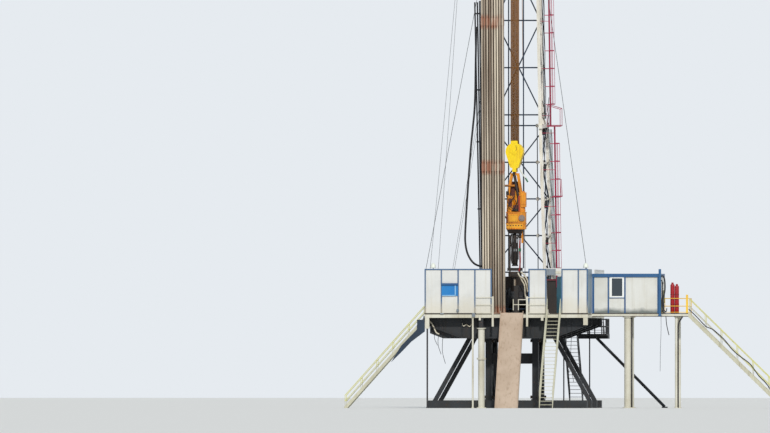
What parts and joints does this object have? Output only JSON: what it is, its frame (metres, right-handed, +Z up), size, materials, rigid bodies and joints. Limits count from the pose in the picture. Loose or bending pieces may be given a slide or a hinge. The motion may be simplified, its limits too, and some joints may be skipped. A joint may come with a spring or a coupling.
{
  "type": "oil drilling rig, 1:2 scale model",
  "caption": "Land drilling rig at half scale: leaning lattice mast, drill floor with wind walls, dog house, stairs, pipe ramp, racked pipe, hoisted top drive with tilting links.",
  "frame": {"origin": "middle of the rig's whole plan, stairs and ramp included, on the ground", "axes": "+Z up, +X to the right seen from the pipe ramp, -Y towards the pipe ramp; the well centre is at x -1.8425 m, y 0.07 m"},
  "size_m": [14.3356, 10.551, 22.6537],
  "materials": {
    "substructure_steel": "matt",
    "cream_paint": "satin",
    "deck_plate": "worn",
    "machined_steel": "oiled",
    "wall_panel": "matt",
    "shutter_blue": "satin",
    "door_teal": "satin",
    "ramp_paint": "worn",
    "stair_paint": "worn",
    "window_glass": "framed",
    "rail_yellow": "satin",
    "bottle_red": "gloss",
    "mast_white": "worn",
    "brace_navy": "worn",
    "drill_pipe": "rusty",
    "ladder_red": "satin",
    "black_paint": "satin",
    "hose_rubber": "matt",
    "wire_rope": "dull",
    "drilling_rope": "greased",
    "block_yellow": "gloss",
    "drive_orange": "gloss",
    "forged_steel": "worn"
  },
  "bodies": {
    "structure": {"base_frame": "substructure_steel", "substructure_legs": "substructure_steel", "floor_girders": "substructure_steel", "trip_tank": "substructure_steel", "front_columns": "cream_paint", "edge_beam": "cream_paint", "floor_deck": "deck_plate", "rotary_table": "machined_steel", "front_wall_left": "wall_panel", "front_wall_right": "wall_panel", "side_walls": "wall_panel", "rear_walls": "wall_panel", "window_shutter": "shutter_blue", "vdoor_rails": "cream_paint", "vdoor_ramp": "ramp_paint", "front_stair": "stair_paint", "left_stair": "stair_paint", "left_stair_brace": "brace_navy", "right_stair": "stair_paint", "rear_stair": "substructure_steel", "rear_platform": "substructure_steel", "doghouse_platform": "cream_paint", "doghouse_columns": "cream_paint", "doghouse_front_wall": "wall_panel", "doghouse_rear_wall": "wall_panel", "doghouse_end_walls": "wall_panel", "doghouse_roof": "wall_panel", "doghouse_post": "shutter_blue", "doghouse_window": "window_glass", "landing_rail": "rail_yellow", "gas_bottles": "bottle_red", "mast_lower_left": "mast_white", "mast_lower_right": "mast_white", "mast_lower_back": "brace_navy", "mast_upper_left": "mast_white", "mast_upper_right": "mast_white", "mast_upper_back": "brace_navy", "crown_block": "mast_white", "crown_sheaves": "machined_steel", "racking_board": "brace_navy", "pipe_stands": "drill_pipe", "mast_ladder": "ladder_red", "guide_rails": "brace_navy", "standpipe": "black_paint", "rotary_hose": "hose_rubber", "guy_lines": "wire_rope", "drilling_line": "drilling_rope", "drawworks": "substructure_steel", "iron_roughneck": "black_paint"},
    "travelling_unit": {"travelling_block": "block_yellow", "top_drive": "drive_orange"},
    "links": {"elevator_links": "forged_steel"},
    "quill": {"quill": "forged_steel"},
    "door": {"floor_door": "door_teal"}
  },
  "joints": [
    {"name": "block_hoist", "type": "slide", "parent": "structure", "child": "travelling_unit", "axis": [0, 0, 1], "range_m": [0, 11], "deforming": ["drilling_line"]},
    {"name": "quill_spin", "type": "hinge", "parent": "travelling_unit", "child": "quill", "pos_m": [-1.8425, 0.07485, 5.46], "axis": [0, 0, 1], "continuous": true},
    {"name": "link_tilt", "type": "hinge", "parent": "travelling_unit", "child": "links", "pos_m": [-1.8425, 0.07485, 5.6], "axis": [-1, 0, 0], "range_deg": [-10, 35]},
    {"name": "door_swing", "type": "hinge", "parent": "structure", "child": "door", "pos_m": [-0.0425, -2.61915, 3.1], "axis": [0, 0, 1], "range_deg": [-23, 67]}
  ]
}
